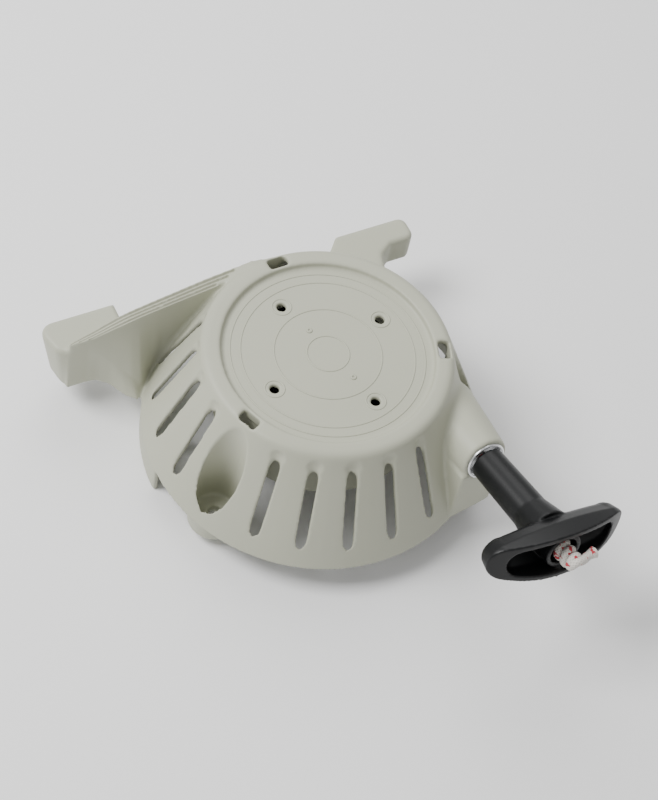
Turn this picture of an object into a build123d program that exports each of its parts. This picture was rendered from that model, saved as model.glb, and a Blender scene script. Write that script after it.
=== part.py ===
from build123d import *
import os
from math import acos, atan2, cos, degrees, hypot, radians, sin, tan

os.makedirs("parts", exist_ok=True)

# Frame: Z is the reel's axis, pointing out of the cover's disc. z = 0 is the plane of the three
# mounting feet. X runs along the back of the cover, from the long wing to the short ear.

# Cover
WALL = 2.8
RIM_R = 60.0
RIM_Z = 71.0
RECESS_R = 51.6
FLOOR_Z = 68.0
CEILING_Z = 65.0
HEM_R = 85.5
HEM_Z = 10.0
HEM_LIP_Z = -6.0
RIM_ROUND = 4.5
DISC_HOLE_PCD = 67.88
DISC_HOLE_R = 2.4
DISC_HOLE_TURN = 16.0

# Three screw pockets and the rim slots above them
POCKET_ANGLES = (-156.9, 90.6, -19.8)
POCKET_PCR = 71.6
POCKET_R = 10.15
POCKET_FLOOR_Z = 6.0
BOSS_R = 13.0
SCREW_HOLE_R = 3.2
RIM_SLOT_R = 56.2
RIM_SLOT = (5.6, 10.0)

# Vent slots: the same pitch all round, left out where pockets, tube and ear stand
VENT_PITCH = 16.4
VENT_FIRST = -71.8
VENT_STEPS = (0, -1, -2, -3, -4, -6.2, -7.2, -8.15, -9.1, 4.3, 5.3, 6.3)
VENT_R = (62.0, 80.6)
VENT_WIDTH = 5.2
SCOOP_R = 6.0

# Reel chamber wall and centre post
DRUM_R = 52.4
DRUM_WALL = 2.6
DRUM_Z = 27.0
POST_R = 6.5
POST_Z = 36.0

# Wing ridge, ears and outlet tube
EAR_BACK_Y = 81.0
EAR_TOP_Z = 41.0
MOUTH = Vector(51.1, -72.7, 51.0)
PULL = Vector(0.069, -0.976, 0.204).normalized()
BAR = Vector(0.989, 0.041, -0.1415)
BAR = (BAR - PULL * BAR.dot(PULL)).normalized()
TUBE_R = 12.0
TUBE_TAPER = 7.5
TUBE_LENGTH = 42.0

# Rope, wound in one flat spiral. It bends at the guide's throat, set back from the mouth.
ROPE_R = 2.0
THROAT_BACK = 6.0
THROAT = MOUTH - PULL * THROAT_BACK
THROAT_BEND_R = 20.0
GROOVE_Z = THROAT.Z
COIL_R = 36.4
COIL_TURNS = 4
COIL_PITCH = 4.05
LEAVE_ANGLE = degrees(atan2(THROAT.Y, THROAT.X) + acos(COIL_R / hypot(THROAT.X, THROAT.Y)))
ANCHOR_R = 13.0
ANCHOR_ANGLE = LEAVE_ANGLE + 50.0

# Reel on its sleeve
REEL_R = 41.0
REEL_HALF = 4.5
REEL_LOW = GROOVE_Z - REEL_HALF
REEL_HIGH = GROOVE_Z + REEL_HALF
GROOVE_HALF = 2.4
GROOVE_R = 18.0
HUB_R = 10.5
HUB_Z = 63.4
PILOT_R = 10.0
PILOT_Z = 37.5
SLEEVE_R = 7.5
RUNNING_FIT = 0.05

# Recoil spring in its case, against the disc
CASE_R = 30.2
CASE_Z = 56.2
SHEET = 1.0
COVER_HOLE_R = 12.0
SPRING_THICK = 0.6
SPRING_R = 28.4
SPRING_TURNS = 10
SPRING_PITCH = 1.7
SPRING_Z = (57.0, 63.4)

# Ratchets, friction plate and the screw stack under the reel
PIVOT_R = 16.0
PIN_R = 2.0
RATCHET_LENGTH = 15.0
RATCHET_EYE_R = 4.4
RATCHET_TIP_R = 3.0
RATCHET_Z = (39.5, 43.9)
STUD_R = 1.3
STUD_OUT = 8.0
ENGAGE = 25.0
PLATE_Z = (37.7, 39.2)
WASHER_Z = (34.8, 36.0)
SCREW_R = 2.5
SCREW_HEAD_R = 5.0
SCREW_LENGTH = 16.0

# Pull handle
STEM_R = (8.5, 9.3)
STEM_Z = (1.2, 46.0)
GRIP_HALF = 38.8
GRIP_DEPTH = 13.5
GRIP_HULL = ((48.0, 35.0, 6.5), (51.5, 37.6, 9.8), (57.0, 38.8, 12.5), (70.0, 38.8, 13.8))
GRIP_DISH = ((53.0, 26.0, 5.5), (58.0, 29.5, 9.8), (71.0, 31.0, 10.9))
GRIP_BACK_Z = 48.5
GRIP_RIM_Z = 67.0
GRIP_BACK_SWEEP = 1.5
GRIP_RIM_SWEEP = 11.0
CUP_R = (7.2, 9.5)
CUP_FLOOR_Z = 58.0
CUP_RIM_Z = 64.5
KNOT_R = 5.3
KNOT_LENGTH = 16.5

# Rope guide in the tube's mouth: barrel and flange radii, depth of its seat
GUIDE_R = (6.9, 10.3)
GUIDE_SEAT = 1.2

RATCHET_ANGLES = (LEAVE_ANGLE + 140.0, LEAVE_ANGLE + 320.0)
MOUTH_PLANE = Plane(origin=MOUTH, x_dir=BAR, z_dir=PULL)
GRIP_SIDE_PLANE = Plane(origin=MOUTH, x_dir=BAR, z_dir=BAR.cross(PULL))
KNOT_TAIL_PLANE = Plane(
    origin=MOUTH + PULL * (CUP_FLOOR_Z + 11.5),
    z_dir=BAR * 0.95 + PULL.cross(BAR) * 0.15 + PULL * 0.1,
)


def polar(radius, angle, z=0.0):
    return Vector(radius * cos(radians(angle)), radius * sin(radians(angle)), z)


def radial_plane(angle):
    """Plane through the axis: local x points outwards at the angle, local y is up."""
    return Plane(origin=(0, 0, 0), x_dir=polar(1, angle), z_dir=polar(1, angle - 90))


LEAVE = polar(COIL_R, LEAVE_ANGLE, GROOVE_Z)
ROPE_PLANE = Plane(origin=LEAVE, z_dir=THROAT - LEAVE)


def cone_radius(z):
    return RIM_R + (HEM_R - RIM_R) * (RIM_Z - z) / (RIM_Z - HEM_Z)


def spiral(radius, pitch, turns, angle, z=0.0):
    """Inward spiral of half circles about two centres, half a pitch apart. Returns its arcs."""
    arcs = []
    for half in range(2 * turns):
        centre = polar(pitch / 2, angle + 180, z) if half % 2 else Vector(0, 0, z)
        arcs.append(CenterArc(centre, radius - half * pitch / 2, angle + 180 * (half % 2), 180))
    return arcs


def skirt_form():
    """Outer form of the disc and the vented skirt, as one solid of revolution."""
    with BuildPart() as form:
        with BuildSketch(Plane.XZ):
            with BuildLine():
                Polyline(
                    (0, HEM_Z), (HEM_R, HEM_Z), (RIM_R, RIM_Z),
                    (RECESS_R, RIM_Z), (RECESS_R, FLOOR_Z), (0, FLOOR_Z), close=True,
                )
            profile = make_face()
            rim_corner = profile.vertices().sort_by(lambda v: abs(v.X - RIM_R) + abs(v.Y - RIM_Z))[0]
            fillet(rim_corner, RIM_ROUND)
        revolve(axis=Axis.Z)
    return form.part


def skirt_cavity():
    """Room inside the skirt, open below."""
    low = HEM_Z - 1
    top = FLOOR_Z
    with BuildPart() as form:
        with BuildSketch(Plane.XZ):
            with BuildLine():
                Polyline(
                    (0, low), (cone_radius(low) - WALL * 1.08, low),
                    (cone_radius(top - 2) - WALL * 1.08, top - 2), (cone_radius(top) - 2 * WALL, top),
                    (DRUM_R + 1.5, top), (DRUM_R + 1.5, CEILING_Z), (0, CEILING_Z), close=True,
                )
            make_face()
        revolve(axis=Axis.Z)
    return form.part


def wing_station(x, back, ridge, band, crest, foot, inset=0.0):
    """Closed YZ outline at x: back wall, ridge band, front wall down to its crest, and the foot at the hem."""
    bottom = HEM_Z if inset == 0 else HEM_Z - 1
    with BuildSketch(Plane.YZ.offset(x)) as outline:
        with BuildLine():
            Polyline(
                (back - inset, bottom), (back - inset, ridge - inset), (band[0] + inset * 0.3, band[1] - inset),
                (crest[0] + inset, crest[1] - inset), (foot + inset, bottom), close=True,
            )
        make_face()
    return outline.sketch


def wing_form():
    """Wing between the long ear and the disc, its ridge rising towards the rim."""
    with BuildPart() as form:
        add(wing_station(-107, 62, 46.5, (60.6, 44.5), (60.2, 41), 60.8))
        add(wing_station(-97, 62, 50.3, (58.9, 48.7), (59.2, 39.5), 60.8))
        add(wing_station(-91.5, 62, 52.5, (58.2, 51.5), (57.6, 35.2), 60))
        add(wing_station(-86.5, 62, 54.8, (57.6, 53.9), (55.2, 30), 55.5))
        add(wing_station(-81.5, 62, 56.9, (57.1, 56), (52.2, 25), 46))
        add(wing_station(-77, 62, 58.3, (57, 57.5), (48.8, 19.5), 41))
        add(wing_station(-72.8, 62, 59.3, (57, 58.5), (46.5, 14), 45))
        add(wing_station(-66, 62, 60.8, (56.8, 60), (52.3, 14), 52))
        add(wing_station(-60, 62, 62, (56.6, 61.2), (55.5, 19), 55.4))
        add(wing_station(-38, 62, 66.4, (56.2, 65.6), (55.3, 56), 55.2))
        add(wing_station(-12, 61.6, 70.6, (55.8, 70.3), (54.5, 60), 54.4))
        add(wing_station(2, 59.4, 70.6, (55, 70.3), (54.5, 60), 54.4))
        loft(ruled=True)
    return form.part


def wing_cavity():
    """Room behind the wing's web, open below."""
    with BuildPart() as form:
        add(wing_station(-85, 62, 55.4, (57.4, 54.5), (54.4, 28.5), 53, WALL))
        add(wing_station(-80, 62, 57.3, (57, 56.4), (51.2, 23.3), 44, WALL))
        add(wing_station(-74, 62, 59, (57, 58.2), (47.3, 16), 45, WALL))
        loft(ruled=True)
    return form.part


def ear_plan(z, left, front, inset):
    """The long ear's outline at height z, with its left face from left at the back to front."""
    with BuildSketch(Plane.XY.offset(z)) as outline:
        with BuildLine():
            Polyline(
                (left + inset, EAR_BACK_Y - inset), (-75 - inset, EAR_BACK_Y - inset), (-75 - inset, 60 + inset),
                (-92, 60.5 + inset), (front + inset, 61.2 + inset), close=True,
            )
        plan = make_face()
        corners = plan.vertices().filter_by(lambda v: v.X < -100)
        fillet(corners, 6.5 - inset)
    return outline.sketch


def long_ear(inset):
    """Ear that leans out to the left, rounded where its left face meets the top."""
    bottom = HEM_Z if inset == 0 else HEM_Z - 1
    top = EAR_TOP_Z - inset
    with BuildPart() as form:
        add(ear_plan(bottom, -111, -107.5, inset))
        add(ear_plan(top, -117, -111.5, inset))
        loft(ruled=True)
        if inset == 0:
            rim = form.faces().sort_by(Axis.Z)[-1]
            fillet(rim.edges().filter_by_position(Axis.Y, 63, 82), 2.5)
    return form.part


def short_ear(inset):
    bottom = 24.0 if inset == 0 else 23.0
    with BuildPart() as form:
        with BuildSketch(Plane.XY.offset(bottom)):
            with BuildLine():
                Polyline(
                    (48 + inset, EAR_BACK_Y - inset), (87 - inset, EAR_BACK_Y - inset), (87 - inset, 66.8 + inset),
                    (73, 66.8 + inset), (66 - inset, 62), (62 - inset, 50), (30, 50), (36 + inset, 68), close=True,
                )
            plan = make_face()
            right = plan.vertices().group_by(Axis.X)[-1]
            fillet(right, 4.5 - inset)
        extrude(amount=EAR_TOP_Z - inset - bottom)
        if inset == 0:
            top = form.faces().sort_by(Axis.Z)[-1]
            fillet(top.edges().filter_by_position(Axis.X, 63, 88), 2.5)
    return form.part


def outlet_form(inset):
    """Tapered rope tube with the pedestal that carries it down to the hem."""
    grow = tan(radians(TUBE_TAPER))
    start = 0 if inset == 0 else -4
    bottom = HEM_Z if inset == 0 else HEM_Z - 1
    with BuildPart() as form:
        with BuildSketch(MOUTH_PLANE.offset(start)):
            Circle(TUBE_R - start * grow - inset)
        with BuildSketch(MOUTH_PLANE.offset(-TUBE_LENGTH)):
            Circle(TUBE_R + TUBE_LENGTH * grow - inset)
        loft()
        if inset == 0:
            rim = form.edges().filter_by(GeomType.CIRCLE).sort_by(Axis.Y)[0]
            fillet(rim, 2.0)
        with BuildSketch(Plane.XY.offset(bottom)):
            with BuildLine():
                Polyline(
                    (38 + inset, -75.8 + inset), (51, -74.2 + inset), (62 - inset, -72.4 + inset),
                    (64.5 - inset, -50), (34 + inset, -50), close=True,
                )
            make_face()
        extrude(amount=46 - inset - bottom)
    return form.part


def band(back_z, rim_z):
    """Closed outline between a nearly flat back arc and a rim arc that drops towards the ends."""
    half = GRIP_HALF + 2
    back_end = back_z + GRIP_BACK_SWEEP
    rim_end = rim_z - GRIP_RIM_SWEEP
    ThreePointArc((-half, back_end), (0, back_z), (half, back_end))
    Line((half, back_end), (half, rim_end))
    ThreePointArc((half, rim_end), (0, rim_z), (-half, rim_end))
    Line((-half, rim_end), (-half, back_end))


def oval_loft(stations):
    """Loft through ovals square to the pull: height, half length and half depth of each."""
    with BuildPart() as form:
        for height, half, depth in stations:
            near_end = half * 0.77
            near_side = depth * 0.78
            with BuildSketch(MOUTH_PLANE.offset(height)):
                with BuildLine():
                    ThreePointArc((-near_end, near_side), (0, depth), (near_end, near_side))
                    ThreePointArc((near_end, near_side), (half, 0), (near_end, -near_side))
                    ThreePointArc((near_end, -near_side), (0, -depth), (-near_end, -near_side))
                    ThreePointArc((-near_end, -near_side), (-half, 0), (-near_end, near_side))
                make_face()
        loft(ruled=True)
    return form.part


def stud_path(angle):
    """Way of a ratchet's stud in the friction plate, from rest to engaged."""
    places = []
    for share in (0.0, 0.5, 1.0):
        swing = radians(share * ENGAGE)
        out = PIVOT_R + STUD_OUT * sin(swing)
        along = STUD_OUT * cos(swing)
        places.append(polar(hypot(out, along), angle - degrees(atan2(along, out)) - share * ENGAGE))
    return Edge.make_three_point_arc(*places)


def screw_boss(angle):
    """Boss down to the mounting foot, trimmed just inside the skirt's outer cone."""
    centre = polar(POCKET_PCR, angle)
    with BuildPart() as boss:
        with BuildSketch(Plane.XY):
            with Locations((centre.X, centre.Y)):
                Circle(BOSS_R)
        extrude(amount=RIM_Z - 3)
        with BuildSketch(Plane.XZ):
            with BuildLine():
                Polyline(
                    (0, 0), (cone_radius(0) - 0.6, 0), (cone_radius(RIM_Z - 3) - 0.6, RIM_Z - 3),
                    (0, RIM_Z - 3), close=True,
                )
            make_face()
        revolve(axis=Axis.Z, mode=Mode.INTERSECT)
    return boss.part


with BuildPart() as housing:
    add(skirt_form())
    add(wing_form())
    add(long_ear(0))
    add(short_ear(0))
    add(outlet_form(0))
    add(skirt_cavity(), mode=Mode.SUBTRACT)
    add(wing_cavity(), mode=Mode.SUBTRACT)
    add(long_ear(WALL), mode=Mode.SUBTRACT)
    add(short_ear(WALL), mode=Mode.SUBTRACT)
    add(outlet_form(WALL), mode=Mode.SUBTRACT)
    for angle in POCKET_ANGLES:
        add(screw_boss(angle))
    # Hem lip that laps over the engine on the wing's side
    with BuildSketch(radial_plane(143)):
        with Locations((HEM_R - WALL / 2, (HEM_Z + HEM_LIP_Z) / 2)):
            Rectangle(WALL, HEM_Z - HEM_LIP_Z)
    revolve(axis=Axis.Z, revolution_arc=37)
    # Reel chamber wall and centre post, hanging from the disc
    with BuildSketch(Plane.XY.offset(DRUM_Z)):
        Circle(DRUM_R)
        Circle(DRUM_R - DRUM_WALL, mode=Mode.SUBTRACT)
    extrude(amount=CEILING_Z + 1 - DRUM_Z)
    with BuildSketch(Plane.XY.offset(POST_Z)):
        Circle(POST_R)
    extrude(amount=CEILING_Z + 1 - POST_Z)
    # Screw pockets, open through the skirt
    for angle in POCKET_ANGLES:
        centre = polar(POCKET_PCR, angle)
        with BuildSketch(Plane.XY.offset(POCKET_FLOOR_Z)):
            with Locations((centre.X, centre.Y)):
                Circle(POCKET_R)
        extrude(amount=RIM_Z, mode=Mode.SUBTRACT)
        with BuildSketch(Plane.XY.offset(-1)):
            with Locations((centre.X, centre.Y)):
                Circle(SCREW_HOLE_R)
        extrude(amount=POCKET_FLOOR_Z + 2, mode=Mode.SUBTRACT)
        with BuildSketch(Plane.XY.offset(CEILING_Z)):
            with PolarLocations(RIM_SLOT_R, 1, start_angle=angle):
                Rectangle(*RIM_SLOT)
        extrude(amount=RIM_Z, mode=Mode.SUBTRACT)
    # Vent slots with a scooped lead-in above each
    for step in VENT_STEPS:
        angle = VENT_FIRST + step * VENT_PITCH
        with BuildSketch(Plane.XY.offset(HEM_Z - 1)):
            with PolarLocations(sum(VENT_R) / 2, 1, start_angle=angle):
                SlotOverall(VENT_R[1] - VENT_R[0], VENT_WIDTH)
        extrude(amount=RIM_Z, mode=Mode.SUBTRACT)
        with Locations(polar(cone_radius(65) + SCOOP_R - 1.6, angle, 65 + 1)):
            Sphere(SCOOP_R, mode=Mode.SUBTRACT)
    # Disc holes
    with BuildSketch(Plane.XY.offset(CEILING_Z - 1)):
        with PolarLocations(DISC_HOLE_PCD / 2, 4, start_angle=DISC_HOLE_TURN):
            Circle(DISC_HOLE_R)
    extrude(amount=RIM_Z, mode=Mode.SUBTRACT)
    # Seat for the rope guide in the tube's mouth
    with BuildSketch(MOUTH_PLANE.offset(1)):
        Circle(GUIDE_R[0])
    extrude(amount=-8, mode=Mode.SUBTRACT)
    with BuildSketch(MOUTH_PLANE.offset(1)):
        Circle(GUIDE_R[1])
    extrude(amount=-1 - GUIDE_SEAT, mode=Mode.SUBTRACT)
    # The rope's way out through the chamber wall
    with BuildSketch(ROPE_PLANE.offset(24)):
        Circle(ROPE_R + 3)
    extrude(amount=24, mode=Mode.SUBTRACT)
    # Pilot hole for the reel's screw
    with BuildSketch(Plane.XY.offset(POST_Z - 1)):
        Circle(SCREW_R - 0.2)
    extrude(amount=SCREW_LENGTH + 2, mode=Mode.SUBTRACT)

with BuildPart() as rope_guide:
    with BuildSketch(MOUTH_PLANE * Plane.XZ):
        with BuildLine():
            Line((3.2, -4.0), (3.6, -7.0))
            Line((3.6, -7.0), (GUIDE_R[0], -7.0))
            Line((GUIDE_R[0], -7.0), (GUIDE_R[0], -GUIDE_SEAT))
            Line((GUIDE_R[0], -GUIDE_SEAT), (GUIDE_R[1], -GUIDE_SEAT))
            Line((GUIDE_R[1], -GUIDE_SEAT), (GUIDE_R[1], 0.2))
            ThreePointArc((GUIDE_R[1], 0.2), (9.6, 0.8), (9.0, 0.2))
            Line((9.0, 0.2), (6.0, -0.9))
            ThreePointArc((6.0, -0.9), (4.0, -2.0), (3.2, -4.0))
        make_face()
    revolve(axis=Axis(MOUTH, PULL))

with BuildPart() as post_sleeve:
    with BuildSketch(Plane.XY.offset(POST_Z)):
        Circle(SLEEVE_R)
        Circle(POST_R, mode=Mode.SUBTRACT)
    extrude(amount=CEILING_Z - 0.5 - POST_Z)

with BuildPart() as spring_case:
    with BuildSketch(Plane.XY.offset(CEILING_Z - SHEET)):
        Circle(CASE_R)
        Circle(SLEEVE_R + 2, mode=Mode.SUBTRACT)
    extrude(amount=SHEET)
    with BuildSketch(Plane.XY.offset(CASE_Z)):
        Circle(CASE_R)
        Circle(CASE_R - SHEET, mode=Mode.SUBTRACT)
    extrude(amount=CEILING_Z - SHEET - CASE_Z)

with BuildPart() as spring_cover:
    with BuildSketch(Plane.XY.offset(CASE_Z - SHEET)):
        Circle(CASE_R)
        Circle(COVER_HOLE_R, mode=Mode.SUBTRACT)
    extrude(amount=SHEET)

with BuildPart() as recoil_spring:
    with BuildSketch(Plane.XY.offset(SPRING_Z[0])):
        with BuildLine():
            outer = spiral(SPRING_R + SPRING_THICK / 2, SPRING_PITCH, SPRING_TURNS, 0)
            inner = spiral(SPRING_R - SPRING_THICK / 2, SPRING_PITCH, SPRING_TURNS, 0)
            Line(outer[0] @ 0, inner[0] @ 0)
            Line(outer[-1] @ 1, inner[-1] @ 1)
        make_face()
    extrude(amount=SPRING_Z[1] - SPRING_Z[0])

with BuildPart() as rope_coil:
    with BuildLine() as wound:
        spiral(COIL_R, COIL_PITCH, COIL_TURNS, LEAVE_ANGLE, GROOVE_Z)
        TangentArc(wound.edges()[-1] @ 1, polar(ANCHOR_R, ANCHOR_ANGLE, GROOVE_Z), tangent=wound.edges()[-1] % 1)
    with BuildSketch(Plane(origin=wound.wires()[0] @ 0, z_dir=wound.wires()[0] % 0)):
        Circle(ROPE_R)
    sweep(path=wound.wires()[0])

with BuildPart() as reel:
    with BuildSketch(Plane.XZ):
        with BuildLine():
            Polyline(
                (SLEEVE_R + RUNNING_FIT, PILOT_Z), (PILOT_R, PILOT_Z), (PILOT_R, REEL_LOW), (REEL_R, REEL_LOW),
                (REEL_R, REEL_LOW + 1.4), (GROOVE_R, GROOVE_Z - GROOVE_HALF), (GROOVE_R, GROOVE_Z + GROOVE_HALF),
                (REEL_R, REEL_HIGH - 1.4), (REEL_R, REEL_HIGH), (HUB_R, REEL_HIGH), (HUB_R, HUB_Z),
                (SLEEVE_R + RUNNING_FIT, HUB_Z), close=True,
            )
        make_face()
    revolve(axis=Axis.Z)
    # Pocket for the rope's inner knot, and the way in from the groove
    with BuildSketch(Plane.XY.offset(REEL_LOW - 1)):
        with Locations(polar(ANCHOR_R, ANCHOR_ANGLE)):
            Circle(3.8)
    extrude(amount=GROOVE_Z + 2.6 - REEL_LOW + 1, mode=Mode.SUBTRACT)
    with BuildSketch(Plane.XY.offset(GROOVE_Z - GROOVE_HALF)):
        with Locations(polar(ANCHOR_R + 2.5, ANCHOR_ANGLE - 10), polar(ANCHOR_R + 6, ANCHOR_ANGLE - 22)):
            Circle(4.8)
    extrude(amount=2 * GROOVE_HALF, mode=Mode.SUBTRACT)
    # Sockets for the ratchet pins
    with BuildSketch(Plane.XY.offset(REEL_LOW)):
        with PolarLocations(PIVOT_R, 2, start_angle=RATCHET_ANGLES[0]):
            Circle(PIN_R)
    extrude(amount=5.5, mode=Mode.SUBTRACT)

with BuildPart() as rope_anchor:
    with Locations(polar(ANCHOR_R, ANCHOR_ANGLE, GROOVE_Z - 1.4)):
        Sphere(3.4)

with BuildPart() as rope_run:
    knot_base = MOUTH + PULL * CUP_FLOOR_Z
    with BuildLine() as route:
        FilletPolyline(LEAVE, THROAT, knot_base, radius=THROAT_BEND_R)
    with BuildSketch(ROPE_PLANE):
        Circle(ROPE_R)
    sweep(path=route.wires()[0])

with BuildPart() as rope_knot:
    with BuildSketch(MOUTH_PLANE.offset(CUP_FLOOR_Z)):
        with Locations((0.8, -1)):
            Circle(KNOT_R)
    extrude(amount=KNOT_LENGTH)
    fillet(rope_knot.edges().filter_by(GeomType.CIRCLE), 3.0)
    with BuildSketch(KNOT_TAIL_PLANE):
        Circle(ROPE_R)
    extrude(amount=12.5)

with BuildPart() as handle_grip:
    # Oval bar, wider towards its dished outer side, cut to a band whose rim drops at the ends
    add(oval_loft(GRIP_HULL))
    with BuildSketch(GRIP_SIDE_PLANE):
        with BuildLine():
            band(GRIP_BACK_Z, GRIP_RIM_Z)
        make_face()
    extrude(amount=GRIP_DEPTH + 5, both=True, mode=Mode.INTERSECT)
    add(oval_loft(GRIP_DISH), mode=Mode.SUBTRACT)
    # Cup for the knot, stem and its flared root
    with BuildSketch(MOUTH_PLANE.offset(GRIP_BACK_Z + 1)):
        Circle(CUP_R[1])
    extrude(amount=CUP_RIM_Z - GRIP_BACK_Z - 1)
    with BuildSketch(MOUTH_PLANE.offset(STEM_Z[0])):
        Circle(STEM_R[0])
    with BuildSketch(MOUTH_PLANE.offset(STEM_Z[1])):
        Circle(STEM_R[1])
    loft()
    with BuildSketch(MOUTH_PLANE.offset(STEM_Z[1] - 8)):
        Circle(STEM_R[1])
    with BuildSketch(MOUTH_PLANE.offset(GRIP_BACK_Z + 2)):
        Circle(STEM_R[1] + 2.7)
    loft()
    with BuildSketch(MOUTH_PLANE):
        Circle(ROPE_R + 0.3)
    extrude(amount=GRIP_RIM_Z, mode=Mode.SUBTRACT)
    with BuildSketch(MOUTH_PLANE.offset(CUP_FLOOR_Z)):
        Circle(CUP_R[0])
    extrude(amount=GRIP_RIM_Z, mode=Mode.SUBTRACT)

ratchets = []
for angle in RATCHET_ANGLES:
    pivot_plane = Plane(origin=polar(PIVOT_R, angle, RATCHET_Z[0]), x_dir=polar(1, angle - 90), z_dir=(0, 0, 1))
    with BuildPart() as ratchet:
        with BuildSketch(pivot_plane):
            Circle(RATCHET_EYE_R)
            with Locations((RATCHET_LENGTH, 0)):
                Circle(RATCHET_TIP_R)
            Polygon(
                (0, RATCHET_EYE_R), (0, -RATCHET_EYE_R), (RATCHET_LENGTH, -RATCHET_TIP_R),
                (RATCHET_LENGTH + 1.5, RATCHET_TIP_R), align=None,
            )
            Circle(PIN_R + RUNNING_FIT, mode=Mode.SUBTRACT)
        extrude(amount=RATCHET_Z[1] - RATCHET_Z[0])
        with BuildSketch(pivot_plane):
            with Locations((STUD_OUT, 0)):
                Circle(STUD_R)
        extrude(amount=PLATE_Z[0] + 0.2 - RATCHET_Z[0])
    with BuildPart() as pin:
        with BuildSketch(pivot_plane):
            Circle(PIN_R)
        extrude(amount=REEL_LOW + 5 - RATCHET_Z[0])
    with BuildPart() as hairpin:
        with BuildLine(pivot_plane.offset(RATCHET_Z[1] - RATCHET_Z[0] + 0.7)) as wire:
            FilletPolyline((-3.2, -4.8), (-3.2, 3.4), (3.2, 3.4), (12, 0.5), radius=2.6)
        with BuildSketch(Plane(origin=wire.wires()[0] @ 0, z_dir=wire.wires()[0] % 0)):
            Circle(0.35)
        sweep(path=wire.wires()[0])
    ratchets.append((ratchet, pin, hairpin))

with BuildPart() as friction_plate:
    with BuildSketch(Plane.XY.offset(PLATE_Z[0])):
        Circle(PILOT_R + 4.5)
        for angle in RATCHET_ANGLES:
            SlotArc(stud_path(angle), height=2 * STUD_R + 5.5)
            with PolarLocations(PILOT_R + 2, 1, start_angle=angle - 36):
                Rectangle(12, 13)
        Circle(PILOT_R + RUNNING_FIT, mode=Mode.SUBTRACT)
        for angle in RATCHET_ANGLES:
            SlotArc(stud_path(angle), height=2 * STUD_R + 0.8, mode=Mode.SUBTRACT)
    extrude(amount=PLATE_Z[1] - PLATE_Z[0])

with BuildPart() as friction_spring:
    with BuildSketch(Plane.XZ):
        with BuildLine():
            Polyline((8.4, WASHER_Z[1]), (12.4, 36.9), (12.4, 37.4), (8.4, 36.5), close=True)
        make_face()
    revolve(axis=Axis.Z)

with BuildPart() as thrust_washer:
    with BuildSketch(Plane.XY.offset(WASHER_Z[0])):
        Circle(12.5)
        Circle(SCREW_R + 0.2, mode=Mode.SUBTRACT)
    extrude(amount=WASHER_Z[1] - WASHER_Z[0])

with BuildPart() as reel_screw:
    with BuildSketch(Plane.XY.offset(WASHER_Z[0])):
        Circle(SCREW_R - 0.2)
    extrude(amount=SCREW_LENGTH)
    with BuildSketch(Plane.XY.offset(WASHER_Z[0] - 3.4)):
        Circle(SCREW_HEAD_R)
    extrude(amount=3.4)
    fillet(reel_screw.edges().filter_by(GeomType.CIRCLE).group_by(Axis.Z)[0], 1.0)
    with BuildSketch(Plane.XY.offset(WASHER_Z[0] - 3.4)):
        Rectangle(5.6, 1.3)
        Rectangle(1.3, 5.6)
    extrude(amount=1.8, mode=Mode.SUBTRACT)

pieces = {
    "housing": housing,
    "rope_guide": rope_guide,
    "post_sleeve": post_sleeve,
    "spring_case": spring_case,
    "spring_cover": spring_cover,
    "recoil_spring": recoil_spring,
    "reel": reel,
    "rope_coil": rope_coil,
    "rope_anchor": rope_anchor,
    "rope_run": rope_run,
    "rope_knot": rope_knot,
    "handle_grip": handle_grip,
    "friction_plate": friction_plate,
    "friction_spring": friction_spring,
    "thrust_washer": thrust_washer,
    "reel_screw": reel_screw,
}
for letter, (ratchet, pin, hairpin) in zip("ab", ratchets):
    pieces["ratchet_" + letter] = ratchet
    pieces["ratchet_pin_" + letter] = pin
    pieces["ratchet_spring_" + letter] = hairpin

for name, piece in pieces.items():
    piece.part.label = name
    export_step(piece.part, "parts/" + name + ".step")
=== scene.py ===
from math import atan2, cos, pi, radians, sin

import bpy
from bpy.props import BoolProperty, FloatProperty, FloatVectorProperty, PointerProperty
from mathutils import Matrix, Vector
from mathutils.kdtree import KDTree


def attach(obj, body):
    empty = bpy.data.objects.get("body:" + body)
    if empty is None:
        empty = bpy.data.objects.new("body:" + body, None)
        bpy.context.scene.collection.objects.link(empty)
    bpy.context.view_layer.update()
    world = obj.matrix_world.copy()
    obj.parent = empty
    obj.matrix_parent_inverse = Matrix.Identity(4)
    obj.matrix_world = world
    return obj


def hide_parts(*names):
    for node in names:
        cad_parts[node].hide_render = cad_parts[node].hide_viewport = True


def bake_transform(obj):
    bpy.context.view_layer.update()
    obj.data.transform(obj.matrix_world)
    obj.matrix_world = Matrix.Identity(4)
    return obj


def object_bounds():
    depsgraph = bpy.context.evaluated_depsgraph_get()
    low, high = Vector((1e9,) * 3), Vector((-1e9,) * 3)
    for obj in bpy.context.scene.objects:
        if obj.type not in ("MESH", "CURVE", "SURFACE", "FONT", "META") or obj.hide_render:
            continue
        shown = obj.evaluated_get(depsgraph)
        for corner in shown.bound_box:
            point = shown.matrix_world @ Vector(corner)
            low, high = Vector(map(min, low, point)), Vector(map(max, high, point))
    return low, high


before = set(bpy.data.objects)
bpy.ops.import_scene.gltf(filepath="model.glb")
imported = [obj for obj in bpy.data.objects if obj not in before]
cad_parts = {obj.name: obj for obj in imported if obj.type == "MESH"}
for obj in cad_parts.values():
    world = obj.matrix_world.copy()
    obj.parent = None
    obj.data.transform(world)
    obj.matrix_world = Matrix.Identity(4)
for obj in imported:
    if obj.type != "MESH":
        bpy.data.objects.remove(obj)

bl_info = {
    "name": "Recoil starter",
    "version": (1, 0, 0),
    "blender": (4, 5, 0),
    "location": "View3D > Sidebar > Starter",
    "description": "Moulded cover, pull handle, rope and plated parts of a recoil starter",
    "category": "Add Mesh",
}

CAD_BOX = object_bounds()

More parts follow.
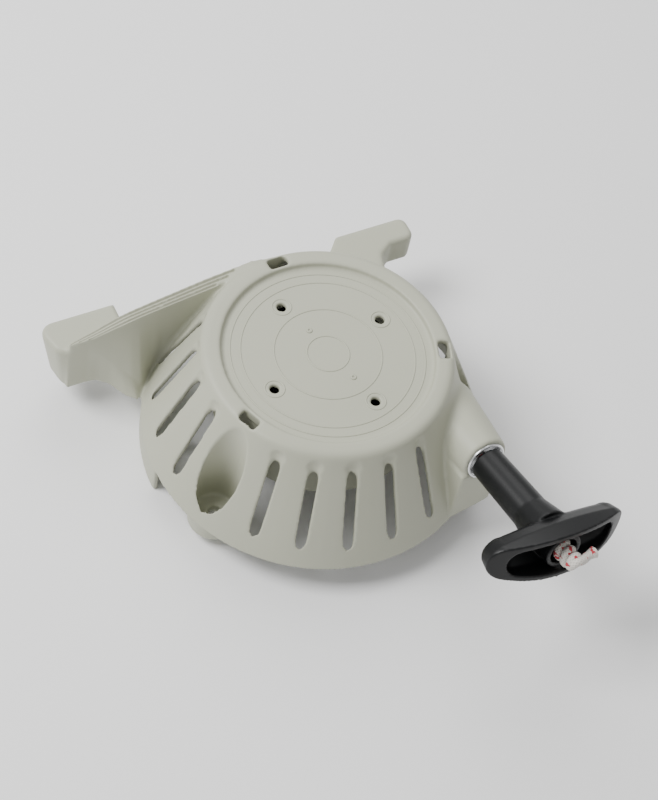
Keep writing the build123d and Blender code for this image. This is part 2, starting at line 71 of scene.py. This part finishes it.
MM = 0.001
MOUTH = Vector((51.1, -72.7, 51.0)) * MM
PULL = Vector((0.069, -0.976, 0.204)).normalized()
BAR = Vector((0.989, 0.041, -0.1415))
BAR = (BAR - PULL * BAR.dot(PULL)).normalized()
RISE = PULL.cross(BAR)
DISC_FLOOR_Z = 68 * MM
DISC_HOLE_RING = 33.94 * MM
DISC_HOLE_TURN = 16.0
DISC_RINGS = (10.2, 26.0, 42.0, 47.0)
CUP_FLOOR = 58 * MM
LEAVE = Vector((35.67, 7.23, 49.775)) * MM
THROAT = MOUTH - PULL * 6 * MM
GROOVE_Z = 49.775
COIL_R = 36.4
COIL_PITCH = 4.05
LEAVE_ANGLE = 11.46
ANCHOR_R = 13.0
RIDGE_BAND = (
    (-107, 60.6, 44.5, 46.5), (-97, 58.9, 48.7, 50.3), (-91.5, 58.2, 51.5, 52.5), (-86.5, 57.6, 53.9, 54.8),
    (-81.5, 57.1, 56.0, 56.9), (-72.8, 57.0, 58.5, 59.3), (-60, 56.6, 61.2, 62.0), (-38, 56.2, 65.6, 66.4),
    (-12, 55.8, 70.3, 70.6),
)
RIDGE_BACK_Y = 62.0
GROOVE_HALF_WIDTH = 0.0010
GROOVE_DEPTH = 0.0014
GROOVE_RUNS = ((-105.0, -22.0, 0.72), (-101.0, -26.0, 0.42), (-96.5, -33.0, 0.12))


def ridge_point(x, share):
    """A point on the ridge band at x, at a share of the way from its front edge to its back edge."""
    for before, after in zip(RIDGE_BAND, RIDGE_BAND[1:]):
        if x <= after[0]:
            break
    part = (x - before[0]) / (after[0] - before[0])
    front_y, front_z, back_z = (before[i] + (after[i] - before[i]) * part for i in (1, 2, 3))
    return Vector((x, front_y + (RIDGE_BACK_Y - front_y) * share, front_z + (back_z - front_z) * share)) * MM


# Shader maths

class Link:
    """A shader socket that can be used in an expression; each operator adds its Math node."""

    def __init__(self, tree, socket):
        self.tree = tree
        self.socket = socket

    def _math(self, operation, first, second=None):
        values = [first] if second is None else [first, second]
        return self.tree.node("ShaderNodeMath", {"operation": operation}, values).out()

    def __add__(self, other):
        return self._math("ADD", self, other)

    def __radd__(self, other):
        return self._math("ADD", other, self)

    def __sub__(self, other):
        return self._math("SUBTRACT", self, other)

    def __rsub__(self, other):
        return self._math("SUBTRACT", other, self)

    def __mul__(self, other):
        return self._math("MULTIPLY", self, other)

    def __rmul__(self, other):
        return self._math("MULTIPLY", other, self)

    def __truediv__(self, other):
        return self._math("DIVIDE", self, other)

    def __rtruediv__(self, other):
        return self._math("DIVIDE", other, self)

    def above(self, level):
        return self._math("GREATER_THAN", self, level)

    def sine(self):
        return self._math("SINE", self)

    def absolute(self):
        return self._math("ABSOLUTE", self)

    def higher(self, other):
        return self._math("MAXIMUM", self, other)


class Node:
    """A node just added; out() gives one of its outputs as a Link."""

    def __init__(self, tree, node):
        self.tree = tree
        self.node = node

    def out(self, name=0):
        return Link(self.tree, self.node.outputs[name])


class Finish:
    """A material and its node tree."""

    def __init__(self, name, **shader_values):
        self.material = bpy.data.materials.new(name)
        self.material.use_nodes = True
        self.nodes = self.material.node_tree.nodes
        self.links = self.material.node_tree.links
        self.shader = self.nodes["Principled BSDF"]
        for socket, value in shader_values.items():
            self.shader.inputs[socket.replace("_", " ")].default_value = value

    def node(self, kind, settings=None, inputs=None):
        """Adds a node: its settings first, then the values or links of its sockets."""
        made = self.nodes.new(kind)
        for key, value in (settings or {}).items():
            if key == "stops":
                ramp = made.color_ramp.elements
                while len(ramp) < len(value):
                    ramp.new(0.5)
                for element, (place, shade) in zip(ramp, value):
                    element.position = place
                    element.color = shade
            else:
                setattr(made, key, value)
        pairs = enumerate(inputs) if isinstance(inputs, (list, tuple)) else (inputs or {}).items()
        for key, value in pairs:
            if isinstance(value, Link):
                self.links.new(value.socket, made.inputs[key])
            else:
                made.inputs[key].default_value = value
        return Node(self, made)

    def feed(self, socket, link):
        self.links.new(link.socket, self.shader.inputs[socket])

    def place(self):
        return self.node("ShaderNodeTexCoord").out("Object")

    def noise(self, where, scale, detail=3.0, roughness=0.5):
        return self.node(
            "ShaderNodeTexNoise", None,
            {"Vector": where, "Scale": scale, "Detail": detail, "Roughness": roughness},
        ).out("Fac")

    def ramp(self, value, stops):
        return self.node("ShaderNodeValToRGB", {"stops": stops}, [value]).out("Color")

    def mix(self, share, first, second):
        """Colour between two colours or links."""
        return self.node(
            "ShaderNodeMix", {"data_type": "RGBA"}, {"Factor": share, 6: first, 7: second},
        ).out(2)

    def bump(self, height, strength, distance):
        normal = self.node(
            "ShaderNodeBump", None, {"Height": height, "Strength": strength, "Distance": distance},
        ).out("Normal")
        self.feed("Normal", normal)


def shade(colour, factor):
    return (colour[0] * factor, colour[1] * factor, colour[2] * factor, 1.0)


def moulded_plastic(name, colour, roughness, grain, blotch, gloss=0.45):
    """Moulded plastic: slow colour drift, fine skin texture and uneven satin gloss."""
    finish = Finish(name, Specular_IOR_Level=gloss)
    where = finish.place()
    slow = finish.noise(where, 14, 4, 0.55)
    specks = finish.noise(where, 420, 2, 0.6)
    finish.feed("Base Color", finish.ramp(
        slow,
        ((0.3, shade(colour, 1 - blotch)), (0.5, shade(colour, 1)), (0.72, shade(colour, 1 + blotch * 0.6))),
    ))
    finish.feed("Roughness", roughness - 0.05 + 0.1 * slow + 0.06 * specks)
    skin = finish.noise(where, 1500, 2, 0.5) + 0.6 * finish.noise(where, 130, 3, 0.5)
    finish.bump(skin, 0.35, grain)
    return finish.material


def plated_metal(name, colour, roughness, direction):
    """Plated or rolled metal with fine lines along one direction and faint staining."""
    finish = Finish(name, Metallic=1.0)
    stretched = finish.node("ShaderNodeMapping", None, {"Vector": finish.place(), "Scale": direction}).out()
    lines = finish.noise(stretched, 260, 4, 0.65)
    stain = finish.noise(finish.place(), 60, 3, 0.6)
    finish.feed("Base Color", finish.mix(stain, shade(colour, 0.86), shade(colour, 1.08)))
    finish.feed("Roughness", roughness - 0.08 + 0.16 * lines + 0.06 * stain)
    finish.bump(lines, 0.25, 0.00003)
    return finish.material


def braided_rope(name, colour, fleck):
    """Braid in the tube's own UV map: u goes once round, v is the length in metres."""
    finish = Finish(name, Roughness=0.78, Sheen_Weight=0.25, Sheen_Roughness=0.5)
    length_and_turn = finish.node("ShaderNodeUVMap", {"uv_map": "UVMap"}).out()
    apart = finish.node("ShaderNodeSeparateXYZ", None, [length_and_turn])
    around = apart.out("X") * (8 * pi)
    along = apart.out("Y") * (2 * pi * 420)
    weave = (around + along).sine().absolute().higher((around - along).sine().absolute())
    strand = (around * 0.25 + along * 0.5).sine()
    patches = finish.noise(finish.place(), 230, 2, 0.5)
    flecks = strand.above(0.25) * patches.above(0.53)
    fibre = finish.noise(finish.place(), 1800, 2, 0.6)
    # Painted shade: the weave darkens the rope colour in the hollows between strands, where the bump is low;
    # the fibre noise adds real fibre tone.
    body = finish.mix(weave * 0.7 + fibre * 0.3, shade(colour, 0.62), shade(colour, 1.05))
    finish.feed("Base Color", finish.mix(flecks, body, (*fleck, 1.0)))
    finish.bump(weave + 0.5 * fibre, 0.7, 0.0004)
    return finish.material


def floor_paint(name, colour):
    """Pale matt floor with a hardly visible mottle."""
    finish = Finish(name, Roughness=0.9)
    mottle = finish.noise(finish.place(), 9, 3, 0.5)
    finish.feed("Base Color", finish.mix(mottle, shade(colour, 0.985), shade(colour, 1.0)))
    return finish.material


# Modelling helpers

def clear_selection():
    if bpy.context.object and bpy.context.object.mode != "OBJECT":
        bpy.ops.object.mode_set(mode="OBJECT")
    bpy.ops.object.select_all(action="DESELECT")


def make_active(piece):
    clear_selection()
    piece.select_set(True)
    bpy.context.view_layer.objects.active = piece


def add_object(name, mesh):
    piece = bpy.data.objects.new(name, mesh)
    bpy.context.scene.collection.objects.link(piece)
    make_active(piece)
    return piece


def apply_modifier(piece, kind, **settings):
    make_active(piece)
    modifier = piece.modifiers.new(kind.title(), kind)
    for key, value in settings.items():
        setattr(modifier, key, value)
    bpy.ops.object.modifier_apply(modifier=modifier.name)


def triangle_count(piece):
    return sum(len(face.vertices) - 2 for face in piece.data.polygons)


def carve(piece, paths, half_width, depth):
    """Presses round-bottomed grooves along the paths into the upper side of a mesh.

    The mesh is made finer beside the paths first.
    """
    points = [point for path in paths for point in path]
    tree = KDTree(len(points))
    for index, point in enumerate(points):
        tree.insert(point, index)
    tree.balance()
    make_active(piece)
    bpy.ops.object.mode_set(mode="EDIT")
    bpy.ops.mesh.select_mode(type="FACE")
    bpy.ops.mesh.select_all(action="DESELECT")
    bpy.ops.object.mode_set(mode="OBJECT")
    for face in piece.data.polygons:
        if tree.find(face.center)[2] < half_width * 2:
            face.select = True
    bpy.ops.object.mode_set(mode="EDIT")
    bpy.ops.mesh.subdivide(number_cuts=2)
    bpy.ops.object.mode_set(mode="OBJECT")
    pressed = []
    for vertex in piece.data.vertices:
        distance = tree.find(vertex.co)[2]
        if distance < half_width and vertex.normal.z > 0.2:
            share = 1.0 - distance / half_width
            pressed.append((vertex.index, depth * share * share * (3 - 2 * share)))
    for index, fall in pressed:
        piece.data.vertices[index].co.z -= fall


def moulding(name, node, voxel, rounds, soft_groups, limit, grooves=()):
    """A soft-edged skin over a CAD node: an even mesh, smoothed so that every edge gets its moulded radius.

    soft_groups are (weight function, extra smoothing rounds) pairs for places where two walls blend widely.
    """
    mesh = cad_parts[node].data.copy()
    mesh.materials.clear()
    piece = add_object(name, mesh)
    bpy.ops.object.mode_set(mode="EDIT")
    bpy.ops.mesh.select_all(action="SELECT")
    bpy.ops.mesh.remove_doubles(threshold=0.000002)
    bpy.ops.object.mode_set(mode="OBJECT")
    apply_modifier(piece, "REMESH", mode="VOXEL", voxel_size=voxel, adaptivity=0)
    for number, (weight_at, extra) in enumerate(soft_groups):
        group = piece.vertex_groups.new(name=f"soft_{number}")
        for vertex in piece.data.vertices:
            weight = weight_at(vertex.co)
            if weight > 0.01:
                group.add([vertex.index], weight, "REPLACE")
        apply_modifier(piece, "SMOOTH", factor=0.6, iterations=extra, vertex_group=group.name)
    piece.vertex_groups.clear()
    apply_modifier(piece, "SMOOTH", factor=0.5, iterations=rounds)
    if grooves:
        carve(piece, grooves, GROOVE_HALF_WIDTH, GROOVE_DEPTH)
    share = limit / triangle_count(piece)
    if share < 1:
        apply_modifier(piece, "DECIMATE", ratio=share)
    make_active(piece)
    bpy.ops.object.shade_smooth()
    return piece


def near_line(start, end, reach):
    """Weight that falls from 1 on a line to 0 at reach from it, all in millimetres."""
    start = Vector(start) * MM
    span = Vector(end) * MM - start

    def weight(point):
        share = min(1.0, max(0.0, (point - start).dot(span) / span.length_squared))
        distance = (point - start - span * share).length / (reach * MM)
        return max(0.0, 1.0 - distance) ** 0.7

    return weight


def smooth_path(points, order, count):
    """Evenly sampled points of the NURBS line with these control points."""
    curve = bpy.data.curves.new("path", "CURVE")
    curve.dimensions = "3D"
    spline = curve.splines.new("NURBS")
    spline.points.add(len(points) - 1)
    for place, point in zip(spline.points, points):
        place.co = (*point, 1.0)
    spline.order_u = order
    spline.use_endpoint_u = True
    spline.resolution_u = 24
    holder = bpy.data.objects.new("path", curve)
    bpy.context.scene.collection.objects.link(holder)
    bpy.context.view_layer.update()
    line = bpy.data.meshes.new_from_object(holder)
    fine = [vertex.co.copy() for vertex in line.vertices]
    bpy.data.objects.remove(holder)
    bpy.data.curves.remove(curve)
    bpy.data.meshes.remove(line)
    lengths = [0.0]
    for before, after in zip(fine, fine[1:]):
        lengths.append(lengths[-1] + (after - before).length)
    even = []
    index = 0
    for step in range(count + 1):
        target = lengths[-1] * step / count
        while index < len(fine) - 2 and lengths[index + 1] < target:
            index += 1
        gap = max(lengths[index + 1] - lengths[index], 1e-9)
        even.append(fine[index].lerp(fine[index + 1], (target - lengths[index]) / gap))
    return even


def rope_tube(name, path, radius, sides, strands=0.0, flare=0.0):
    """Tube along sampled points, its skin lifted into crossing strands, with u round and v along."""
    vertices = []
    travelled = [0.0]
    for before, after in zip(path, path[1:]):
        travelled.append(travelled[-1] + (after - before).length)
    side = (path[1] - path[0]).orthogonal().normalized()
    for index, point in enumerate(path):
        ahead = path[min(index + 1, len(path) - 1)] - path[max(index - 1, 0)]
        ahead.normalize()
        side = (side - ahead * side.dot(ahead)).normalized()
        across = ahead.cross(side)
        left = travelled[-1] - travelled[index]
        swell = 1.0 + flare * max(0.0, 1.0 - left / 0.003)
        for turn in range(sides):
            angle = 2 * pi * turn / sides
            wave = 2 * pi * 210 * travelled[index]
            braid = max(abs(sin(2 * angle + wave)), abs(sin(2 * angle - wave)))
            reach = radius * swell * (1 + strands * (braid - 0.8))
            vertices.append(point + (side * cos(angle) + across * sin(angle)) * reach)
    faces = []
    for ring in range(len(path) - 1):
        for turn in range(sides):
            following = (turn + 1) % sides
            low = ring * sides
            faces.append((low + turn, low + following, low + sides + following, low + sides + turn))
    first_cap = len(faces)
    faces.append(tuple(reversed(range(sides))))
    faces.append(tuple(range((len(path) - 1) * sides, len(path) * sides)))
    mesh = bpy.data.meshes.new(name)
    mesh.from_pydata([tuple(v) for v in vertices], [], faces)
    layer = mesh.uv_layers.new(name="UVMap")
    for face in mesh.polygons:
        for corner, loop in enumerate(face.loop_indices):
            if face.index >= first_cap:
                layer.data[loop].uv = (0.1 * corner, 0.0)
                continue
            turn = face.index % sides + (1 if corner in (1, 2) else 0)
            ring = face.index // sides + (1 if corner in (2, 3) else 0)
            layer.data[loop].uv = (turn / sides, travelled[ring])
    piece = add_object(name, mesh)
    bpy.ops.object.shade_smooth_by_angle(angle=radians(50))
    return piece


def joined(name, parts):
    clear_selection()
    for part in parts:
        part.select_set(True)
    bpy.context.view_layer.objects.active = parts[0]
    bpy.ops.object.join()
    parts[0].name = name
    return parts[0]


def settle(piece):
    """Moves the object's place into its mesh, so that it sits at the origin."""
    make_active(piece)
    bpy.ops.object.transform_apply(location=True, rotation=True, scale=True)
    return piece


def finish_piece(piece, material, body, slot, *nodes):
    piece.data.materials.clear()
    piece.data.materials.append(material)
    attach(piece, body)
    if nodes:
        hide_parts(*nodes)


def raised_ring(name, centre, radius, width, height):
    """A low half-round ring on the disc, from a torus flattened in edit mode."""
    clear_selection()
    bpy.ops.mesh.primitive_torus_add(
        major_radius=radius, minor_radius=width / 2, major_segments=96, minor_segments=10, location=centre,
    )
    ring = bpy.context.object
    ring.name = name
    bpy.ops.object.mode_set(mode="EDIT")
    bpy.ops.transform.resize(value=(1, 1, 2 * height / width))
    bpy.ops.object.mode_set(mode="OBJECT")
    bpy.ops.object.shade_smooth()
    return settle(ring)


# Settings

class CoverSettings(bpy.types.PropertyGroup):
    colour: FloatVectorProperty(
        name="Colour", description="Cover plastic's colour", subtype="COLOR", size=3,
        default=(0.43, 0.437, 0.345),
        min=0, max=1,
    )
    roughness: FloatProperty(
        name="Roughness", description="Cover plastic's roughness", default=0.46, min=0, max=1,
    )
    voxel: FloatProperty(
        name="Mesh step", description="Size of the even mesh under the moulded skin",
        default=0.0008, unit="LENGTH",
    )
    rounds: FloatProperty(name="Edge rounding", description="Smoothing rounds on the edges", default=5, min=0)
    line_height: FloatProperty(
        name="Line height", description="How far the disc's rings stand up", default=0.0003, unit="LENGTH",
    )


class GripSettings(bpy.types.PropertyGroup):
    colour: FloatVectorProperty(
        name="Colour", description="Handle plastic's colour", subtype="COLOR", size=3,
        default=(0.0045, 0.005, 0.0054), min=0, max=1,
    )
    roughness: FloatProperty(
        name="Roughness", description="Handle plastic's roughness", default=0.36, min=0, max=1,
    )
    voxel: FloatProperty(
        name="Mesh step", description="Size of the even mesh under the moulded skin",
        default=0.0005, unit="LENGTH",
    )


class RopeSettings(bpy.types.PropertyGroup):
    radius: FloatProperty(name="Radius", description="Rope's radius", default=0.002, unit="LENGTH")
    colour: FloatVectorProperty(
        name="Colour", description="Rope's main colour", subtype="COLOR", size=3, default=(0.74, 0.70, 0.64),
        min=0, max=1,
    )
    fleck: FloatVectorProperty(
        name="Fleck", description="Colour of the tracer strands", subtype="COLOR", size=3,
        default=(0.50, 0.035, 0.05), min=0, max=1,
    )


class StageSettings(bpy.types.PropertyGroup):
    floor_colour: FloatVectorProperty(
        name="Floor", description="Floor's colour", subtype="COLOR", size=3, default=(0.93, 0.93, 0.93),
        min=0, max=1,
    )
    world_light: FloatProperty(name="Sky", description="Strength of the even light", default=0.60, min=0)
    key_light: FloatProperty(name="Key", description="Key light's power in watts", default=20.0, min=0)
    fill_light: FloatProperty(name="Fill", description="Fill light's power in watts", default=6.0, min=0)
    show_floor: BoolProperty(name="Floor", description="Add the floor", default=True)


# Operators

class STARTER_OT_cover(bpy.types.Operator):
    """Moulded cover with its rings and ridge lines"""
    bl_idname = "starter.cover"
    bl_label = "Cover"

    def execute(self, context):
        settings = context.scene.starter_cover
        plastic = moulded_plastic("cover_plastic", settings.colour, settings.roughness, 0.00006, 0.035)
        soft = (
            (near_line((-73, 45, 12), (-56, 55, 27), 8), 30),
            (near_line((-56, 55, 27), (-18, 55, 66), 8), 25),
            (near_line((33, -60, 40), (44, -44, 66), 11), 30),
            (near_line((64, -46, 52), (66, -60, 30), 11), 30),
            (near_line((-78, 60, 41), (-108, 60, 42), 6), 20),
            (near_line((48, 56, 41), (66, 60, 41), 7), 20),
        )
        grooves = []
        for first, last, share in GROOVE_RUNS:
            line = [ridge_point(first + (last - first) * step / 12, share) for step in range(13)]
            grooves.append(smooth_path(line, 3, 400))
        cover = moulding("cover", "housing", settings.voxel, int(settings.rounds), soft, 196000, grooves)
        lines = []
        for radius in DISC_RINGS:
            lines.append(raised_ring("ring", (0, 0, DISC_FLOOR_Z), radius * MM, 0.0009, settings.line_height))
        for corner in range(4):
            angle = radians(DISC_HOLE_TURN + 90 * corner)
            centre = (DISC_HOLE_RING * cos(angle), DISC_HOLE_RING * sin(angle), DISC_FLOOR_Z)
            lines.append(raised_ring("ring", centre, 0.0047, 0.0010, settings.line_height))
        for angle, reach in ((100, 15.5), (-72, 17.5)):
            centre = (reach * MM * cos(radians(angle)), reach * MM * sin(radians(angle)), DISC_FLOOR_Z)
            lines.append(raised_ring("ring", centre, 0.0010, 0.0012, 0.0005))
        rings = joined("disc_rings", lines)
        finish_piece(rings, plastic, "housing", "cover_plastic")

        finish_piece(cover, plastic, "housing", "cover_plastic", "housing")
        return {"FINISHED"}


class STARTER_OT_grip(bpy.types.Operator):
    """Black pull handle"""
    bl_idname = "starter.grip"
    bl_label = "Handle"

    def execute(self, context):
        settings = context.scene.starter_grip
        plastic = moulded_plastic("grip_plastic", settings.colour, settings.roughness, 0.00008, 0.12, 0.32)
        neck = MOUTH + PULL * 0.048
        start = (neck - BAR * 0.012) / MM
        end = (neck + BAR * 0.012) / MM
        soft = ((near_line(start, end, 15), 30),)
        grip = moulding("grip", "handle_grip", settings.voxel, 5, soft, 150000)
        finish_piece(grip, plastic, "handle", "grip_plastic", "handle_grip")
        return {"FINISHED"}


class STARTER_OT_rope(bpy.types.Operator):
    """Rope from the reel to its knot in the handle, and the turns on the reel"""
    bl_idname = "starter.rope"
    bl_label = "Rope"

    def execute(self, context):
        settings = context.scene.starter_rope
        braid = braided_rope("rope_braid", settings.colour, settings.fleck)
        radius = settings.radius

        bend = (THROAT - LEAVE).normalized() * 0.006
        route = [LEAVE, LEAVE.lerp(THROAT, 0.4), THROAT - bend, THROAT, THROAT + PULL * 0.006]
        route += [MOUTH + PULL * 0.025, MOUTH + PULL * CUP_FLOOR]
        run = rope_tube("rope_run_braid", smooth_path(route, 3, 420), radius * 0.98, 20, 0.06)
        run.data.materials.append(braid)
        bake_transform(run)
        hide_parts("rope_run")

        centre = MOUTH + BAR * 0.0008 - RISE * 0.001
        knot = [MOUTH + PULL * CUP_FLOOR, MOUTH + PULL * 0.0595]
        for step in range(19):
            angle = 2 * pi * step / 7
            reach = 0.0031 + 0.0004 * sin(1.7 * step)
            height = 0.0605 + 0.0118 * step / 18
            knot.append(centre + (BAR * cos(angle) + RISE * sin(angle)) * reach + PULL * height)
        knot.append(centre - BAR * 0.001 + RISE * 0.003 + PULL * 0.0735)
        knot.append(centre + BAR * 0.003 + RISE * 0.002 + PULL * 0.0735)
        knot.append(centre + BAR * 0.007 + RISE * 0.0015 + PULL * 0.0715)
        knot.append(centre + BAR * 0.0115 + RISE * 0.002 + PULL * 0.0710)
        tied = rope_tube("rope_knot_braid", smooth_path(knot, 3, 420), radius * 1.08, 20, 0.09, 0.35)
        finish_piece(tied, braid, "handle", "rope", "rope_knot")

        turns = []
        for half in range(8):
            offset = COIL_PITCH / 2 if half % 2 else 0.0
            shift = Vector((cos(radians(LEAVE_ANGLE + 180)), sin(radians(LEAVE_ANGLE + 180)), 0)) * offset
            reach = COIL_R - half * COIL_PITCH / 2
            for step in range(12):
                angle = radians(LEAVE_ANGLE + 180 * (half % 2) + 15 * step)
                place = shift + Vector((cos(angle) * reach, sin(angle) * reach, GROOVE_Z))
                turns.append(place * MM)
        last = turns[-1]
        bearing = atan2(last.y, last.x)
        for step in range(1, 5):
            angle = bearing + radians(14 * step)
            reach = (last.xy.length / MM) + (ANCHOR_R - last.xy.length / MM) * step / 4
            turns.append(Vector((cos(angle) * reach, sin(angle) * reach, GROOVE_Z)) * MM)
        coil = rope_tube("rope_turns", smooth_path(turns, 3, 1500), radius * 0.98, 12, 0.06)
        anchor_at = turns[-1]
        loop = []
        for step in range(15):
            angle = 2 * pi * step / 7
            height = -0.0032 + 0.0036 * step / 14
            loop.append(anchor_at + Vector((0.0015 * cos(angle), 0.0015 * sin(angle), height)))
        anchor = rope_tube("rope_inner_knot", smooth_path(loop, 3, 120), radius * 0.9, 12, 0.08)
        wound = joined("rope_turns", [coil, anchor])
        finish_piece(wound, braid, "reel", "rope", "rope_coil", "rope_anchor")
        return {"FINISHED"}


class STARTER_OT_works(bpy.types.Operator):
    """Finishes of the eyelet, the reel, the springs and the plated parts"""
    bl_idname = "starter.works"
    bl_label = "Works"

    def execute(self, context):
        bright = plated_metal("eyelet_zinc", (0.80, 0.81, 0.82), 0.22, (1, 1, 1))
        zinc = plated_metal("plated_steel", (0.62, 0.63, 0.65), 0.33, (1, 1, 0.1))
        spring = plated_metal("spring_steel", (0.30, 0.31, 0.33), 0.30, (1, 1, 8))
        nylon = moulded_plastic("reel_nylon", (0.05, 0.05, 0.055), 0.45, 0.00006, 0.10)
        finishes = {
            "rope_guide": bright, "post_sleeve": zinc, "spring_case": zinc, "spring_cover": zinc,
            "recoil_spring": spring, "reel": nylon, "friction_plate": zinc, "friction_spring": spring,
            "thrust_washer": zinc, "reel_screw": zinc, "ratchet_a": nylon, "ratchet_b": nylon,
            "ratchet_pin_a": spring, "ratchet_pin_b": spring, "ratchet_spring_a": spring,
            "ratchet_spring_b": spring,
        }
        for node, material in finishes.items():
            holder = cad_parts[node]
            if not holder.material_slots:
                holder.data.materials.append(material)
            for material_slot in holder.material_slots:
                material_slot.material = material
        return {"FINISHED"}


class STARTER_OT_stage(bpy.types.Operator):
    """Floor, soft studio light and camera"""
    bl_idname = "starter.stage"
    bl_label = "Stage"

    def execute(self, context):
        settings = context.scene.starter_stage
        if settings.show_floor:
            clear_selection()
            bpy.ops.mesh.primitive_plane_add(size=6, location=(0, 0, CAD_BOX[0][2] - 0.0002))
            floor = bpy.context.object
            floor.name = "floor"
            settle(floor)
            floor.data.materials.append(floor_paint("floor_paint", settings.floor_colour))

        world = bpy.data.worlds.new("studio")
        world.use_nodes = True
        sky = world.node_tree.nodes["Background"]
        sky.inputs["Color"].default_value = (1.0, 1.0, 1.0, 1.0)
        sky.inputs["Strength"].default_value = settings.world_light
        context.scene.world = world

        lamps = (
            ("key", (-0.75, 0.35, 1.1), settings.key_light, 0.6),
            ("top", (0.35, 0.75, 1.0), settings.fill_light, 0.8),
        )
        for name, place, power, size in lamps:
            bpy.ops.object.light_add(type="AREA", location=place)
            lamp = bpy.context.object
            lamp.name = name
            lamp.data.energy = power
            lamp.data.size = size
            lamp.rotation_euler = (Vector((0, 0, 0.04)) - Vector(place)).to_track_quat("-Z", "Y").to_euler()

        bpy.ops.object.camera_add(
            location=(-0.343334, -0.463761, 0.859881),
            rotation=(radians(34.07204), radians(-7.67949), radians(-25.89191)),
        )
        camera = bpy.context.object
        camera.data.lens = 92.7
        camera.data.sensor_width = 36.0
        camera.data.sensor_fit = "AUTO"
        camera.data.clip_start = 0.05
        camera.data.clip_end = 20.0
        context.scene.camera = camera
        return {"FINISHED"}


class STARTER_PT_panel(bpy.types.Panel):
    """Lists the starter's operators and settings"""
    bl_idname = "STARTER_PT_panel"
    bl_label = "Recoil starter"
    bl_space_type = "VIEW_3D"
    bl_region_type = "UI"
    bl_category = "Starter"

    def draw(self, context):
        for group_name, operator in PANEL_ROWS:
            column = self.layout.column()
            column.operator(operator.bl_idname)
            if group_name:
                group = getattr(context.scene, group_name)
                for key in group.bl_rna.properties.keys():
                    if key not in ("rna_type", "name"):
                        column.prop(group, key)


GROUPS = {
    "starter_cover": CoverSettings,
    "starter_grip": GripSettings,
    "starter_rope": RopeSettings,
    "starter_stage": StageSettings,
}
PANEL_ROWS = (
    ("starter_stage", STARTER_OT_stage),
    ("starter_rope", STARTER_OT_rope),
    ("starter_cover", STARTER_OT_cover),
    ("starter_grip", STARTER_OT_grip),
    ("", STARTER_OT_works),
)


def register():
    for group in GROUPS.values():
        bpy.utils.register_class(group)
    for _, operator in PANEL_ROWS:
        bpy.utils.register_class(operator)
    bpy.utils.register_class(STARTER_PT_panel)
    for name, group in GROUPS.items():
        setattr(bpy.types.Scene, name, PointerProperty(type=group))


def unregister():
    for name in GROUPS:
        delattr(bpy.types.Scene, name)
    bpy.utils.unregister_class(STARTER_PT_panel)
    for _, operator in PANEL_ROWS:
        bpy.utils.unregister_class(operator)
    for group in GROUPS.values():
        bpy.utils.unregister_class(group)


def main():
    register()
    bpy.ops.starter.stage()
    bpy.ops.starter.rope()
    bpy.ops.starter.cover()
    bpy.ops.starter.grip()
    bpy.ops.starter.works()
    clear_selection()


if __name__ == "__main__":
    main()
